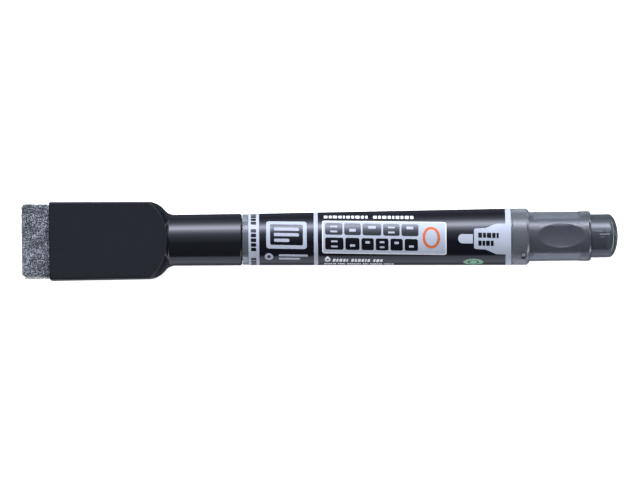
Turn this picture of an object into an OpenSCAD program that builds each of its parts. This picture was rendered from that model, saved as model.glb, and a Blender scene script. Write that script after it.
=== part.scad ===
// Slim whiteboard marker with an eraser cap and a pull-out ink cartridge.
// It lies along X with the eraser felt at -X and the tail plug at +X. +Z is up, and the cap's
// flat head and the barrel's thick end rest on Z = 0. The origin is under the middle of the
// closed marker. Lengths are in millimetres.

/* [Cap] */
// How far the eraser felt stands out of the head
felt_out = 6.5; // [4:0.5:8]
// Length of the head's straight part
head_l = 23.8; // [21:0.1:27]
// Width of the head at its open end
head_w = 18.3; // [18.3:0.1:20]
// Length of the head's rounded shoulder
shoulder_l = 4.9; // [4.7:0.1:5.2]
// Length of the round collar
collar_l = 16.6; // [15:0.1:18]
// Diameter of the collar where it meets the shoulder
collar_d = 12; // [11.8:0.1:12.1]

/* [Barrel] */
// Length of the clear ring between cap and label
ring_l = 1.4; // [1:0.1:2]
// Length of the printed label
label_l = 61.6; // [58:0.1:66]
// Length of the clear collar behind the label
rear_collar_l = 4.3; // [4:0.1:5]
// Diameter of the label at its front edge
barrel_front_d = 12.1; // [12:0.05:12.3]
// Diameter of the barrel at its rear collar, also the thickness of the cap's head
barrel_d = 13.3; // [13.2:0.1:13.8]

/* [Nib] */
// Diameter of the fibre nib
nib_d = 1.9; // [1.6:0.1:2.2]
// How far the nib stands out of its holder
nib_out = 3.5; // [2.5:0.5:4]

/* [Cartridge] */
// Length of the tail sleeve outside the barrel
sleeve_l = 14.5; // [14:0.5:18]
// Diameter of the tail sleeve
sleeve_d = 11.6; // [11.4:0.1:11.7]
// Length of the tail plug outside the sleeve
plug_l = 6.4; // [5:0.1:8]
// Diameter of the tail plug
plug_d = 10.2; // [9.8:0.1:10.2]
// Diameter of the ball in the ink tank
ball_d = 3.8; // [3:0.1:3.8]

/* [Hidden] */
$fn = 96;

// Gap round a piece that sits fixed in another
fit_gap = 0.05;
// Gap round a piece that slides in another
slide_gap = 0.075;
// Gap between the ends of pieces that stand one behind the other
end_gap = 0.4;
// How far a cutter passes through the face it cuts
over = 1;

// Stations along the axis, from the eraser felt to the tail
total_l = felt_out + head_l + shoulder_l + collar_l + ring_l + label_l + rear_collar_l
    + sleeve_l + plug_l;
x_felt = -total_l / 2;
x_rim = x_felt + felt_out;
x_shoulder = x_rim + head_l;
x_collar = x_shoulder + shoulder_l;
x_mouth = x_collar + collar_l;
x_label = x_mouth + ring_l;
x_label_end = x_label + label_l;
x_barrel_end = x_label_end + rear_collar_l;
x_sleeve_end = x_barrel_end + sleeve_l;
x_tail = x_sleeve_end + plug_l;

// Cap
barrel_r = barrel_d / 2;
axis_z = barrel_r;
head_taper = 0.3;
head_end_w = head_w - head_taper;
head_edge_r = 0.5;
rim_chamfer = 0.5;
// Side curve of the shoulder and its fillet into the collar, seen from above
side_r = 5.2;
side_fillet_r = 3;
side_start = 0.7;
// Turned curve that cuts the head's flat faces into an arc
brow_r = 11.5;
brow_back = 6;
brow_centre_r = 1.15;
brow_fillet_r = 0.5;
collar_r = collar_d / 2;
collar_flare = 0.08;
collar_mouth_r = collar_r + collar_flare;
mouth_chamfer = 0.4;
cap_gap = 0.1;
// The head's walls beside the felt and over it
side_wall = 0.55;
face_wall = 0.65;
felt_w = head_w - 2 * side_wall;
felt_t = barrel_d - 2 * face_wall;
felt_corner_r = 0.9;
felt_l = 18;
hollow_step = 1;
hollow_l = 3.5;
// The neck, the cap's bore over it, and the snap bead and groove
neck_r = 4.8;
neck_l = 9;
bead_r = 0.3;
bead_out = 0.15;
bead_back = 5.5;
bead_gap = 0.15;
cap_bore_r = 5.05;
cap_bore_l = 11.8;
// The sealing thimble
thimble_r = 4.25;
thimble_l = 17;
thimble_wall = 0.87;
thimble_end = 0.7;
flange_t = 0.8;
flange_r = 4.9;

// Barrel
ring_r = 5.95;
film_t = 0.08;
barrel_front_r = barrel_front_d / 2;
end_chamfer = 0.6;
neck_bore_r = 4.25;
main_bore_r = 5.35;
rear_bore_r = sleeve_d / 2 + slide_gap;
x_neck = x_mouth - neck_l;
neck_bore_in = 7;
rear_bore_l = 11.6;
x_main_bore = x_mouth + neck_bore_in;
x_rear_bore = x_barrel_end - rear_bore_l;
// Two latch windows in the rear collar, and the lugs that show in them
window_l = 1;
window_w = 1.9;
window_back = 0.9;
window_angle = 46;
lug_gap = 0.1;
lug_root = 0.3;
lug_out = 0.03;

// Front section, nib and feed
nib_r = nib_d / 2;
nose_r = nib_r + 0.6;
land_r = 3.3;
land_l = 5.3;
nose_l = 7;
nose_round = 0.3;
section_flange_r = 4.6;
section_flange_t = 1;
plug_in_r = 4;
rib_out = 0.21;
rib_w = 0.35;
rib_count = 24;
rib_l = 8.5;
throat_r = 2.4;
socket_r = 3.2;
x_flange = x_neck - section_flange_t;
x_land = x_flange - land_l;
x_nose = x_land - nose_l;
x_nib = x_nose - nib_out;
nib_in = 11;
throat_lead = 0.5;
x_section_end = x_main_bore - end_gap;
x_wick = x_nose + nib_in;
wick_r = nib_r - fit_gap;
feed_bore_r = nib_r;
tip_r = 0.6;
tip_l = 0.8;

// Collector and connector
core_r = 2.2;
fin_r = 5.3;
fin_t = 0.35;
fin_pitch = 0.8;
fin_count = 13;
channel_w = 0.4;
channel_floor_r = 1.8;
spigot_in = 2.2;
x_spigot = x_neck + spigot_in;
x_fins = x_main_bore + end_gap;
x_fins_end = x_fins + fin_pitch * (fin_count - 1) + fin_t;
connector_flange_t = 1.2;
connector_r = 1.5;
spike_l = 8.2;
spike_tip_l = 1;
spike_tip_r = 1.15;
x_spike = x_fins_end + connector_flange_t;
x_spike_end = x_spike + spike_l;
seal_l = 1.75;
seal_r = 3.2;
seal_gap = 0.03;

// Cartridge
tube_r = 4.75;
tank_r = 4.25;
tube_neck_r = 3.2;
tube_neck_l = 3.1;
tube_wall = 0.9;
mouth_r = 2.4;
bush_r = 2.36;
bush_bore_r = 1.56;
bush_inset = 0.2;
tube_gap = 0.35;
x_tube = x_spike + seal_l + tube_gap;
x_tank = x_tube + tube_neck_l + tube_wall;
tube_out = 0.9;
x_tube_end = x_barrel_end + tube_out;
sleeve_r = sleeve_d / 2;
sleeve_gap = 1;
x_sleeve = x_rear_bore + sleeve_gap;
rim_l = 2.7;
rim_out = 0.08;
sleeve_chamfer = 0.35;
sleeve_bore_r = 4.2;
plug_r = plug_d / 2;
plug_step = 0.2;
plug_seat_r = plug_r - plug_step;
plug_socket_l = 2.4;
x_plug = x_sleeve_end - plug_socket_l;
spigot_r = 4.15;
spigot_l = 4.7;
dome_l = 2.2;
plug_hollow_r = 3.1;
plug_floor = 2.4;
dome_steps = 14;
groove_back = 2.2;
ring_minor_r = 0.4;
groove_gap = 0.02;
// Thumb scoop in the top of the sleeve: a shallow dish
scoop_l = 10.8;
scoop_depth = 1;
scoop_r = (scoop_l * scoop_l / 4 + scoop_depth * scoop_depth) / (2 * scoop_depth);
scoop_back = 7.5;
x_scoop = x_barrel_end + scoop_back;
ball_r = ball_d / 2;
ball_gap = 0.1;
ball_drop = sleeve_bore_r - ball_r - ball_gap;
ball_start = 3.2;
x_ball = x_spike_end + ball_start;
ink_r = 4.1;
ink_gap = 0.3;
ink_level = 2.8;
x_ink_end = x_plug - spigot_l - ink_gap;

// Radius of the barrel's seat under the label at station x
function seat_r(x) = barrel_front_r - film_t
    + (barrel_r - barrel_front_r) * (x - x_label) / label_l;

// Turns a profile drawn as [radius, x] round the marker's axis
module turned() {
    translate([0, 0, axis_z]) rotate([0, 90, 0]) rotate_extrude() children();
}

module rod(x_start, x_end, r) {
    translate([x_start, 0, axis_z]) rotate([0, 90, 0]) cylinder(h = x_end - x_start, r = r);
}

module cone(x_start, x_end, r_start, r_end) {
    translate([x_start, 0, axis_z]) rotate([0, 90, 0])
        cylinder(h = x_end - x_start, r1 = r_start, r2 = r_end);
}

module tube(x_start, x_end, r_out, r_in) {
    turned() translate([r_in, x_start]) square([r_out - r_in, x_end - x_start]);
}

module ring(x_centre, r_major, r_minor) {
    turned() translate([r_major, x_centre]) circle(r = r_minor);
}

// Rectangle centred on the origin with round corners
module round_rect(w, h, r) {
    square([w - 2 * r, h], center = true);
    square([w, h - 2 * r], center = true);
    for (sx = [-1, 1], sy = [-1, 1]) {
        translate([sx * (w / 2 - r), sy * (h / 2 - r)]) circle(r = r);
    }
}

// Bar along X whose section is a round rectangle: h is its height, w its width
module bar(x_start, x_end, w, h, r) {
    translate([x_start, 0, axis_z]) rotate([0, 90, 0])
        linear_extrude(height = x_end - x_start) round_rect(h, w, r);
}

// Half of the fillet between a round shoulder and the collar: the corner block less its circle.
// The shoulder is a circle of radius r whose centre is [cx, cy], the collar has radius base.
module shoulder_fillet(cx, cy, r, base, fillet) {
    reach = sqrt(pow(r + fillet, 2) - pow(base + fillet - cy, 2));
    touch_x = reach * r / (r + fillet);
    touch_y = cy + (base + fillet - cy) * r / (r + fillet);
    difference() {
        polygon([[cx, 0], [cx + reach, 0], [cx + reach, base], [cx + touch_x, touch_y], [cx, cy]]);
        translate([cx + reach, base + fillet]) circle(r = fillet);
    }
}

// Upper half of the head and collar as seen from above
module half_plan() {
    side_x = x_shoulder - side_start;
    side_y = head_end_w / 2 - side_r;
    polygon([
        [x_rim, 0], [x_rim, head_w / 2 - rim_chamfer], [x_rim + rim_chamfer, head_w / 2],
        [side_x, head_end_w / 2], [side_x, 0]
    ]);
    intersection() {
        translate([side_x, side_y]) circle(r = side_r);
        translate([side_x, 0]) square([side_r, head_w]);
    }
    translate([side_x, 0]) square([side_r, side_y]);
    shoulder_fillet(side_x, side_y, side_r, collar_r, side_fillet_r);
    translate([side_x, 0]) square([x_collar + over - side_x, collar_r]);
}

// Turned outline that rounds the head's flat faces down to the collar, as [radius, x]
module brow_profile() {
    brow_x = x_shoulder - brow_back;
    mirror([1, -1]) {
        translate([x_rim - over, 0]) square([brow_x - x_rim + over, brow_centre_r + brow_r]);
        intersection() {
            translate([brow_x, brow_centre_r]) circle(r = brow_r);
            translate([brow_x, 0]) square([brow_r, brow_centre_r + brow_r]);
        }
        shoulder_fillet(brow_x, brow_centre_r, brow_r, collar_r, brow_fillet_r);
        translate([brow_x, 0]) square([x_collar + over - brow_x, collar_r]);
    }
}

module cap_head() {
    intersection() {
        bar(x_rim, x_collar + over, head_w, barrel_d, head_edge_r);
        linear_extrude(height = barrel_d) {
            half_plan();
            mirror([0, 1]) half_plan();
        }
        turned() brow_profile();
    }
}

module cap_shell() {
    color("#25282e") difference() {
        union() {
            cap_head();
            cone(x_collar, x_mouth - cap_gap - mouth_chamfer, collar_r, collar_mouth_r);
            cone(x_mouth - cap_gap - mouth_chamfer, x_mouth - cap_gap,
                collar_mouth_r, collar_mouth_r - mouth_chamfer);
        }
        bar(x_rim - over, x_felt + felt_l, felt_w + 2 * fit_gap, felt_t + 2 * fit_gap,
            felt_corner_r);
        bar(x_rim, x_felt + felt_l + hollow_l, felt_w - 2 * hollow_step,
            felt_t - 2 * hollow_step, felt_corner_r);
        rod(x_mouth - cap_bore_l, x_mouth, cap_bore_r);
        rod(x_mouth - cap_bore_l + flange_t - thimble_l - fit_gap, x_mouth,
            thimble_r + fit_gap);
        ring(x_mouth - bead_back, neck_r - bead_out, bead_r + bead_gap);
    }
}

module felt_eraser() {
    color("#7d838e") bar(x_felt, x_felt + felt_l, felt_w, felt_t, felt_corner_r);
}

// Thimble with a closed front end and a flange that sits on the step in the cap's bore
module inner_cap() {
    x_flange_face = x_mouth - cap_bore_l + flange_t;
    color("#e8e8e2") difference() {
        union() {
            rod(x_flange_face - thimble_l, x_flange_face, thimble_r);
            rod(x_flange_face - flange_t, x_flange_face, flange_r);
        }
        rod(x_flange_face - thimble_l + thimble_end, x_flange_face + over,
            thimble_r - thimble_wall);
    }
}

module latch_window() {
    translate([x_barrel_end - window_back - window_l, -window_w / 2, rear_bore_r - over])
        cube([window_l, window_w, 2 * over + barrel_r - rear_bore_r]);
}

// Places a shape at each of the two latches round the axis
module at_latches() {
    for (turn = [0, 180]) {
        translate([0, 0, axis_z]) rotate([window_angle + turn, 0, 0]) children();
    }
}

module barrel() {
    color([0.62, 0.65, 0.66, 0.5]) difference() {
        union() {
            rod(x_neck, x_mouth, neck_r);
            ring(x_mouth - bead_back, neck_r - bead_out, bead_r);
            rod(x_mouth, x_label, ring_r);
            cone(x_label, x_label_end, seat_r(x_label), seat_r(x_label_end));
            rod(x_label_end, x_barrel_end - end_chamfer, barrel_r);
            cone(x_barrel_end - end_chamfer, x_barrel_end, barrel_r, barrel_r - end_chamfer);
        }
        rod(x_neck - over, x_main_bore + over, neck_bore_r);
        rod(x_main_bore, x_rear_bore + over, main_bore_r);
        rod(x_rear_bore, x_barrel_end + over, rear_bore_r);
        at_latches() latch_window();
    }
}

// Thin film that lies on the barrel's seat
module label_film() {
    color("#2b2d33") difference() {
        cone(x_label, x_label_end, seat_r(x_label) + film_t, seat_r(x_label_end) + film_t);
        cone(x_label - over, x_label_end + over, seat_r(x_label - over), seat_r(x_label_end + over));
    }
}

// Nib holder: nose, sealing land, flange on the neck, and a ribbed plug inside the neck
module front_section() {
    color("#2a2c31") difference() {
        union() {
            cone(x_nose, x_nose + nose_round, nose_r - nose_round, nose_r);
            cone(x_nose + nose_round, x_land, nose_r, land_r);
            rod(x_land, x_flange, land_r);
            rod(x_flange, x_neck, section_flange_r);
            rod(x_neck, x_section_end, plug_in_r);
            for (i = [0 : rib_count - 1]) {
                translate([x_section_end - rib_l, 0, axis_z]) rotate([i * 360 / rib_count, 0, 0])
                    translate([0, -rib_w / 2, plug_in_r - rib_w])
                    cube([rib_l, rib_w, rib_w + rib_out]);
            }
        }
        rod(x_nose - over, x_flange, nib_r + fit_gap);
        rod(x_wick - throat_lead, x_section_end + over, throat_r);
        rod(x_neck, x_section_end + over, socket_r);
    }
}

module nib() {
    color("#34363b") {
        rod(x_nib + tip_r + tip_l, x_wick, nib_r);
        cone(x_nib + tip_r, x_nib + tip_r + tip_l, tip_r, nib_r);
        translate([x_nib + tip_r, 0, axis_z]) sphere(r = tip_r);
    }
}

module feed_wick() {
    color("#3a3d44") rod(x_wick, x_spike_end - end_gap, wick_r);
}

// Finned comb with a spigot that goes into the front section
module ink_collector() {
    color("#d9dbd8") difference() {
        union() {
            rod(x_spigot, x_section_end, socket_r - fit_gap);
            rod(x_section_end, x_fins_end, core_r);
            for (i = [0 : fin_count - 1]) {
                rod(x_fins + i * fin_pitch, x_fins + i * fin_pitch + fin_t, fin_r);
            }
        }
        rod(x_spigot - over, x_fins_end + over, feed_bore_r);
        translate([x_fins - over, -channel_w / 2, axis_z + channel_floor_r])
            cube([x_fins_end - x_fins + 2 * over, channel_w, fin_r]);
    }
}

// Flanged spike that pushes through the cartridge's mouth
module connector_tube() {
    color("#c9ccca") difference() {
        union() {
            rod(x_fins_end, x_spike, fin_r);
            rod(x_spike, x_spike_end - spike_tip_l, connector_r);
            cone(x_spike_end - spike_tip_l, x_spike_end, connector_r, spike_tip_r);
        }
        rod(x_fins_end - over, x_spike_end + over, feed_bore_r);
    }
}

module connector_seal() {
    color("#3c3c40") tube(x_spike, x_spike + seal_l, seal_r, connector_r + seal_gap);
}

// Ink tube with a narrow neck at its front end
module cartridge_tube() {
    color([0.70, 0.72, 0.74, 0.5]) difference() {
        union() {
            rod(x_tube, x_tank, tube_neck_r);
            rod(x_tank - tube_wall, x_tube_end, tube_r);
        }
        rod(x_tube - over, x_tank + over, mouth_r);
        rod(x_tank, x_tube_end + over, tank_r);
    }
}

module mouth_bush() {
    color("#46464a") tube(x_tube + bush_inset, x_tank - bush_inset, bush_r, bush_bore_r);
}

module thumb_scoop() {
    translate([x_scoop, 0, axis_z + sleeve_r - scoop_depth + scoop_r]) sphere(r = scoop_r);
}

// Lug of the latch, which shows in the barrel's window
module latch_lug() {
    lug_x = x_barrel_end - window_back - window_l + lug_gap;
    translate([lug_x, lug_gap - window_w / 2, sleeve_r - lug_root])
        cube([window_l - 2 * lug_gap, window_w - 2 * lug_gap, lug_root + lug_out]);
}

// Rear end of the cartridge: holds the ink tube in front and the plug behind
module tail_sleeve() {
    color([0.36, 0.39, 0.44, 0.85]) difference() {
        union() {
            rod(x_sleeve, x_sleeve_end - rim_l, sleeve_r);
            rod(x_sleeve_end - rim_l, x_sleeve_end - sleeve_chamfer, sleeve_r + rim_out);
            cone(x_sleeve_end - sleeve_chamfer, x_sleeve_end, sleeve_r + rim_out,
                sleeve_r + rim_out - sleeve_chamfer);
            at_latches() latch_lug();
        }
        rod(x_sleeve - over, x_tube_end, tube_r + fit_gap);
        rod(x_sleeve, x_sleeve_end + over, sleeve_bore_r);
        rod(x_plug, x_sleeve_end + over, plug_r + fit_gap);
        thumb_scoop();
    }
}

// Outline of the plug's dome, a quarter ellipse drawn as [radius, x]
module dome_profile() {
    polygon(concat([[0, x_tail - dome_l]], [
        for (i = [0 : dome_steps])
            [plug_r * cos(i * 90 / dome_steps), x_tail - dome_l + dome_l * sin(i * 90 / dome_steps)]
    ]));
}

// Domed cup, open towards the tank
module tail_plug() {
    color("#3a3f47") difference() {
        union() {
            rod(x_plug, x_sleeve_end, plug_seat_r);
            rod(x_sleeve_end, x_tail - dome_l, plug_r);
            turned() dome_profile();
            rod(x_plug - spigot_l, x_plug, spigot_r);
        }
        ring(x_plug - groove_back, spigot_r, ring_minor_r + groove_gap);
        rod(x_plug - spigot_l - over, x_tail - plug_floor, plug_hollow_r);
    }
}

module plug_seal() {
    color("#303034") intersection() {
        ring(x_plug - groove_back, spigot_r, ring_minor_r);
        rod(x_plug - spigot_l, x_plug, sleeve_bore_r);
    }
}

// Channel along the floor of the ink that the ball rolls in
module ball_channel() {
    room_r = ball_r + ball_gap;
    x_start = x_ball - room_r;
    run_l = x_ink_end + over - x_start;
    translate([x_start, 0, axis_z - ball_drop]) rotate([0, 90, 0])
        cylinder(h = run_l, r = room_r);
    translate([x_start, -room_r, axis_z - ball_drop - 2 * room_r])
        cube([run_l, 2 * room_r, 2 * room_r]);
}

// The ink, with an air space over it
module ink_charge() {
    color("#1d1f26") difference() {
        rod(x_tank + ink_gap, x_ink_end, ink_r);
        rod(x_tank, x_spike_end + ink_gap, connector_r + ink_gap);
        ball_channel();
        translate([x_tank, -barrel_r, axis_z + ink_level])
            cube([x_ink_end - x_tank + over, barrel_d, barrel_r]);
    }
}

module seal_ball() {
    color("#b9bcc2") translate([x_ball, 0, axis_z - ball_drop]) sphere(r = ball_r);
}

cap_shell();
felt_eraser();
inner_cap();
barrel();
label_film();
front_section();
nib();
ink_collector();
feed_wick();
connector_tube();
connector_seal();
cartridge_tube();
mouth_bush();
tail_sleeve();
tail_plug();
plug_seal();
ink_charge();
seal_ball();
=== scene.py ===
import math
import random

import bmesh
import bpy
from mathutils import Matrix, Vector, noise


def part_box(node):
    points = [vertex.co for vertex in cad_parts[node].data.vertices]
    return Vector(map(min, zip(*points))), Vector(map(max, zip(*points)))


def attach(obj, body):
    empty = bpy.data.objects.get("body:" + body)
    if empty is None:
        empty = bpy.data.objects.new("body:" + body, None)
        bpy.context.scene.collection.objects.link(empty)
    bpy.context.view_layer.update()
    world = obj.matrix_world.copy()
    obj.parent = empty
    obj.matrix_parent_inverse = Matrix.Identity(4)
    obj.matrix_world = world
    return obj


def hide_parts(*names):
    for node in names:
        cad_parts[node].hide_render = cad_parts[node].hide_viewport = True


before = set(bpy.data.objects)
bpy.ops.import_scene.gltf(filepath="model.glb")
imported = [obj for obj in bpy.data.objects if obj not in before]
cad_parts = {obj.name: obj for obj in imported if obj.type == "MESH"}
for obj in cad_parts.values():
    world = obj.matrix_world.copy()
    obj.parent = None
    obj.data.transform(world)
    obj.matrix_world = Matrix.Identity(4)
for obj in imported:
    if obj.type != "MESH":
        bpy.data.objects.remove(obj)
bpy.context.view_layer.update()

# Lengths in this script are in millimetres. A point is (x, y, z) with z measured from the
# marker's axis, and MM and AXIS_Z take it to the frame.
MM = 0.001


def span(node):
    """Lowest and highest x of a CAD node, in millimetres."""
    low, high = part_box(node)
    return low.x / MM, high.x / MM


def half_width(node):
    """Half of a CAD node's size along y, in millimetres."""
    low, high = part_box(node)
    return (high.y - low.y) / 2 / MM


AXIS_Z = sum(corner.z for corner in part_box("label_film")) / 2 / MM

X_FELT, X_FELT_BACK = span("felt_eraser")
X_RIM, X_MOUTH = span("cap_shell")
X_NECK, X_BARREL_END = span("barrel")
X_LABEL, X_LABEL_END = span("label_film")
X_NOSE, X_SECTION_END = span("front_section")
X_NIB, X_WICK = span("nib")
X_THIMBLE, X_THIMBLE_MOUTH = span("inner_cap")
X_TUBE, X_TUBE_END = span("cartridge_tube")
X_SLEEVE, X_SLEEVE_END = span("tail_sleeve")
X_SPIGOT, X_TAIL = span("tail_plug")

HEAD_HALF_W = half_width("cap_shell")
HEAD_HALF_T = (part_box("cap_shell")[1].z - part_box("cap_shell")[0].z) / 2 / MM
BARREL_R = half_width("barrel")
# The sleeve's rear rim stands this far out of the sleeve
RIM_RISE = 0.08
SLEEVE_R = half_width("tail_sleeve") - RIM_RISE


# ---------------- shapes

def add_mesh(name, verts, faces, body, slot, materials, sharp=32.0, indices=None):
    """Makes a piece from points in millimetres and rides it on a body. The slot argument is not
    used.
    """
    mesh = bpy.data.meshes.new(name)
    mesh.from_pydata([(x * MM, y * MM, (z + AXIS_Z) * MM) for x, y, z in verts], [], faces)
    mesh.update()
    for material in materials:
        mesh.materials.append(material)
    if indices:
        mesh.polygons.foreach_set("material_index", indices)
    tidy = bmesh.new()
    tidy.from_mesh(mesh)
    bmesh.ops.recalc_face_normals(tidy, faces=tidy.faces)
    tidy.to_mesh(mesh)
    tidy.free()
    mesh.polygons.foreach_set("use_smooth", [True] * len(mesh.polygons))
    mesh.set_sharp_from_angle(angle=math.radians(sharp))
    piece = bpy.data.objects.new(name, mesh)
    bpy.context.scene.collection.objects.link(piece)
    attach(piece, body)
    return piece


def skin(name, loops, *where, closed=False, row_material=None, windows=(), **options):
    """Skin through rings of points. A ring of one point is a pole. closed joins last to first,
    and where is the piece's body, slot and materials, as in add_mesh.
    A window (outer row, inner row, first, last) is a hole through both rows of faces, with walls
    between them; first and last count points round the ring."""
    verts, starts = [], []
    for loop in loops:
        starts.append(len(verts))
        verts.extend(loop)
    faces, indices = [], []
    pairs = [(i, i + 1) for i in range(len(loops) - 1)]
    if closed:
        pairs.append((len(loops) - 1, 0))
    for i, j in pairs:
        a, b = starts[i], starts[j]
        n, m = len(loops[i]), len(loops[j])
        material = row_material(i) if row_material else 0
        cut = {k for window in windows if i in window[:2] for k in range(*window[2:])}
        for k in sorted(set(range(max(n, m))) - cut):
            after = (k + 1) % max(n, m)
            if n == 1:
                faces.append((a, b + after, b + k))
            elif m == 1:
                faces.append((a + k, a + after, b))
            else:
                faces.append((a + k, a + after, b + after, b + k))
            indices.append(material)
    for outer, inner, first, last in windows:
        near, far = starts[outer], starts[outer + 1]
        far_in, near_in = starts[inner], starts[inner + 1]
        for k in range(first, last):
            faces.append((near + k, near + k + 1, near_in + k + 1, near_in + k))
            faces.append((far + k, far + k + 1, far_in + k + 1, far_in + k))
        for k in (first, last):
            faces.append((near + k, far + k, far_in + k, near_in + k))
        indices += [0] * (2 * (last - first) + 2)
    return add_mesh(name, verts, faces, *where, indices=indices, **options)


def rounded(points, closed=False, steps=5):
    """Gives corners of an outline a fillet. Points are (x, r) or (x, r, fillet)."""
    out = []
    count = len(points)
    for i, point in enumerate(points):
        here = Vector(point[:2])
        fillet = point[2] if len(point) > 2 else 0
        if fillet == 0 or (not closed and i in (0, count - 1)):
            out.append(here[:])
            continue
        back = Vector(points[i - 1][:2]) - here
        ahead = Vector(points[(i + 1) % count][:2]) - here
        angle = back.angle(ahead)
        reach = min(fillet / math.tan(angle / 2), 0.48 * back.length, 0.48 * ahead.length)
        radius = reach * math.tan(angle / 2)
        middle = (back.normalized() + ahead.normalized()).normalized()
        centre = here + middle * radius / math.sin(angle / 2)
        first = here + back.normalized() * reach - centre
        last = here + ahead.normalized() * reach - centre
        swing = first.angle_signed(last)
        for k in range(steps + 1):
            turn = -swing * k / steps
            c, s = math.cos(turn), math.sin(turn)
            out.append((centre.x + c * first.x - s * first.y, centre.y + s * first.x + c * first.y))
    return out


def ring(x, r, angles):
    """Ring of points round the axis. Angles are in radians from +y towards +z."""
    if r == 0:
        return [(x, 0.0, 0.0)]
    return [(x, r * math.cos(a), r * math.sin(a)) for a in angles]


def nearest(points, spot):
    """Index of the point nearest to a spot."""
    return min(range(len(points)), key=lambda k: math.dist(points[k], spot))


def even_angles(count):
    return [math.tau * k / count for k in range(count)]


SEGMENTS = 160


def lathe(name, profile, *where, **options):
    """Turned piece. The profile's points are (x, r), and closed profiles never touch the axis."""
    loops = [ring(x, r, even_angles(SEGMENTS)) for x, r in profile]
    return skin(name, loops, *where, **options)


def smooth_max(a, b, k):
    h = max(k - abs(a - b), 0.0)
    return max(a, b) + h * h / (4 * k)


def mix(a, b, t):
    return a + (b - a) * t


def smoothstep(low, high, x):
    t = min(max((x - low) / (high - low), 0.0), 1.0)
    return t * t * (3 - 2 * t)


# ---------------- materials

def add_node(tree, kind, feeds, **settings):
    """Node of a shader tree. feeds maps each input to a value or to the output linked to it."""
    made = tree.nodes.new("ShaderNode" + kind)
    for key, value in settings.items():
        setattr(made, key, value)
    for key, value in feeds.items():
        if isinstance(value, bpy.types.NodeSocket):
            tree.links.new(value, made.inputs[key])
        else:
            made.inputs[key].default_value = value
    return made


def new_material(name, **sockets):
    """Principled material. Socket names are written with underscores for spaces."""
    material = bpy.data.materials.new(name)
    material.use_nodes = True
    shader = material.node_tree.nodes["Principled BSDF"]
    for key, value in sockets.items():
        socket = shader.inputs[key.replace("_", " ")]
        socket.default_value = (*value, 1.0) if isinstance(value, tuple) else value
    return material


def link(tree, source, socket):
    tree.links.new(source, tree.nodes["Principled BSDF"].inputs[socket])


def coordinates(tree, stretch=(1, 1, 1)):
    """Object coordinates in millimetres, stretched per axis."""
    place = add_node(tree, "TexCoord", {}).outputs["Object"]
    scale = [share / MM for share in stretch]
    return add_node(tree, "Mapping", {"Vector": place, "Scale": scale}).outputs["Vector"]


def noise_map(tree, vector, per_mm, detail=3.0, rough=0.55):
    return add_node(tree, "TexNoise", {"Vector": vector, "Scale": per_mm, "Detail": detail,
                                       "Roughness": rough}).outputs["Fac"]


def map_range(tree, source, low, high, to_low=0.0, to_high=1.0):
    return add_node(tree, "MapRange", {"Value": source, "From Min": low, "From Max": high,
                                       "To Min": to_low, "To Max": to_high}).outputs["Result"]


def ramp(tree, source, stops):
    """Colour ramp with stops (position, colour or grey)."""
    node = add_node(tree, "ValToRGB", {"Fac": source})
    elements = node.color_ramp.elements
    while len(elements) < len(stops):
        elements.new(0.5)
    for element, (position, colour) in zip(elements, stops):
        element.position = position
        if not isinstance(colour, tuple):
            colour = (colour, colour, colour)
        element.color = (*colour, 1.0)
    return node.outputs["Color"]


def multiply(tree, a, b):
    # Inputs 6 and 7 and output 2 are the mix node's colours
    return add_node(tree, "Mix", {"Factor": 1.0, 6: a, 7: b}, data_type="RGBA",
                    blend_type="MULTIPLY").outputs[2]


def bump(tree, height, distance_mm, strength=1.0, **onto):
    return add_node(tree, "Bump", {"Distance": distance_mm * MM, "Strength": strength,
                                   "Height": height, **onto}).outputs["Normal"]


def moulded(name, dark, light, rough, sockets):
    """Moulded plastic: slightly clouded colour, uneven gloss, fine grain and light scuffs."""
    material = new_material(name, **sockets)
    tree = material.node_tree
    place = coordinates(tree)
    cloud = noise_map(tree, place, 0.25, 4.0)
    link(tree, ramp(tree, cloud, [(0.35, dark), (0.7, light)]), "Base Color")
    gloss = noise_map(tree, place, 0.4, 4.0, 0.6)
    link(tree, ramp(tree, gloss, [(0.3, rough[0]), (0.75, rough[1])]), "Roughness")
    fine = bump(tree, noise_map(tree, place, 9.0, 2.0), 0.0012, 0.4)
    scuffs = noise_map(tree, coordinates(tree, (0.35, 2.2, 2.2)), 2.2, 3.0)
    link(tree, bump(tree, scuffs, 0.0016, 0.3, Normal=fine), "Normal")
    return material


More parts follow.
